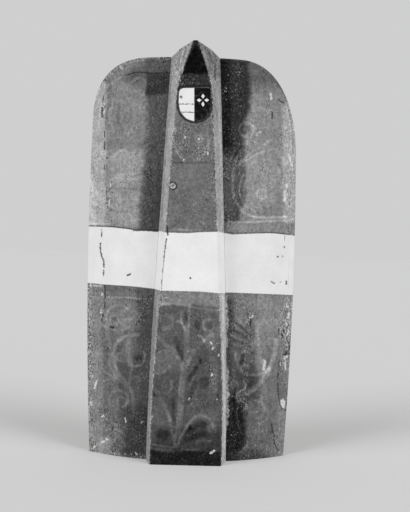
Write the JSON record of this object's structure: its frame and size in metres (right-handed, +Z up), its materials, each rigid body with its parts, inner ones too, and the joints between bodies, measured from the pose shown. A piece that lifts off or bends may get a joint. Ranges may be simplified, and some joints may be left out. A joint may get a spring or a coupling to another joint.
{
  "type": "pavise shield",
  "caption": "Tall standing board shield with swept wings, a hollow middle ridge, an overhanging beak, a hand grip, straps, a hanging ring and a folding prop.",
  "frame": {"origin": "middle of the foot of the board under the ridge's face, on the ground", "axes": "+Z up the ridge, the painted front faces -Y, +X to the right as the front is seen"},
  "size_m": [0.593, 0.2372, 1.1346],
  "materials": {
    "painted_hide": "worn distemper paint on gessoed hide",
    "rim_binding": "painted rawhide strip",
    "board_wood": "riven and planed poplar",
    "ash_wood": "shaved ash, worn smooth",
    "lining_cloth": "glued coarse linen, darkened",
    "strap_leather": "vegetable tanned, oiled",
    "forged_iron": "forged, darkened"
  },
  "bodies": {
    "shield": {"left_wing_hide": "painted_hide", "left_inner_board": "board_wood", "left_outer_board": "board_wood", "left_lining": "lining_cloth", "right_wing_hide": "painted_hide", "right_inner_board": "board_wood", "right_outer_board": "board_wood", "right_lining": "lining_cloth", "left_rim_binding": "rim_binding", "right_rim_binding": "rim_binding", "ridge_hide": "painted_hide", "ridge_board": "board_wood", "left_cheek": "board_wood", "right_cheek": "board_wood", "beak_block": "board_wood", "grip_bar": "ash_wood", "grip_left_upper_rivet": "forged_iron", "grip_left_upper_rove": "forged_iron", "grip_left_lower_rivet": "forged_iron", "grip_left_lower_rove": "forged_iron", "grip_right_upper_rivet": "forged_iron", "grip_right_upper_rove": "forged_iron", "grip_right_lower_rivet": "forged_iron", "grip_right_lower_rove": "forged_iron", "prop_bracket": "forged_iron", "bracket_upper_left_rivet": "forged_iron", "bracket_upper_right_rivet": "forged_iron", "bracket_lower_left_rivet": "forged_iron", "bracket_lower_right_rivet": "forged_iron", "prop_pin": "forged_iron", "turn_button_nail": "forged_iron", "ring_staple": "forged_iron", "buckle_strap": "strap_leather", "strap_loop": "strap_leather", "billet_strap": "strap_leather", "buckle_strap_rivet": "forged_iron", "buckle_strap_rove": "forged_iron", "billet_strap_rivet": "forged_iron", "billet_strap_rove": "forged_iron"},
    "prop": {"prop_leg": "ash_wood", "prop_shoe": "forged_iron", "prop_shoe_nail": "forged_iron"},
    "button": {"turn_button": "ash_wood"},
    "ring": {"hanging_ring": "forged_iron"},
    "buckle": {"buckle_frame": "forged_iron"},
    "tongue": {"buckle_tongue": "forged_iron"}
  },
  "joints": [
    {"name": "prop_swing", "type": "hinge", "parent": "shield", "child": "prop", "pos_m": [0, 0.04948, 0.705], "axis": [1, 0, 0], "range_deg": [0, 35]},
    {"name": "button_turn", "type": "hinge", "parent": "shield", "child": "button", "pos_m": [-0.12044, 0.07098, 0.15], "axis": [0, 1, 0], "range_deg": [-180, 0]},
    {"name": "ring_swing", "type": "hinge", "parent": "shield", "child": "ring", "pos_m": [0, 0.06104, 1.053], "axis": [1, 0, 0], "range_deg": [-5, 180]},
    {"name": "buckle_swing", "type": "hinge", "parent": "shield", "child": "buckle", "pos_m": [-0.18951, 0.1023, 0.71], "axis": [0.9049, -0.4255, 0], "range_deg": [-18, 90]},
    {"name": "tongue_swing", "type": "hinge", "parent": "buckle", "child": "tongue", "pos_m": [-0.18951, 0.1023, 0.71], "axis": [0.9049, -0.4255, 0], "range_deg": [0, 60]}
  ]
}
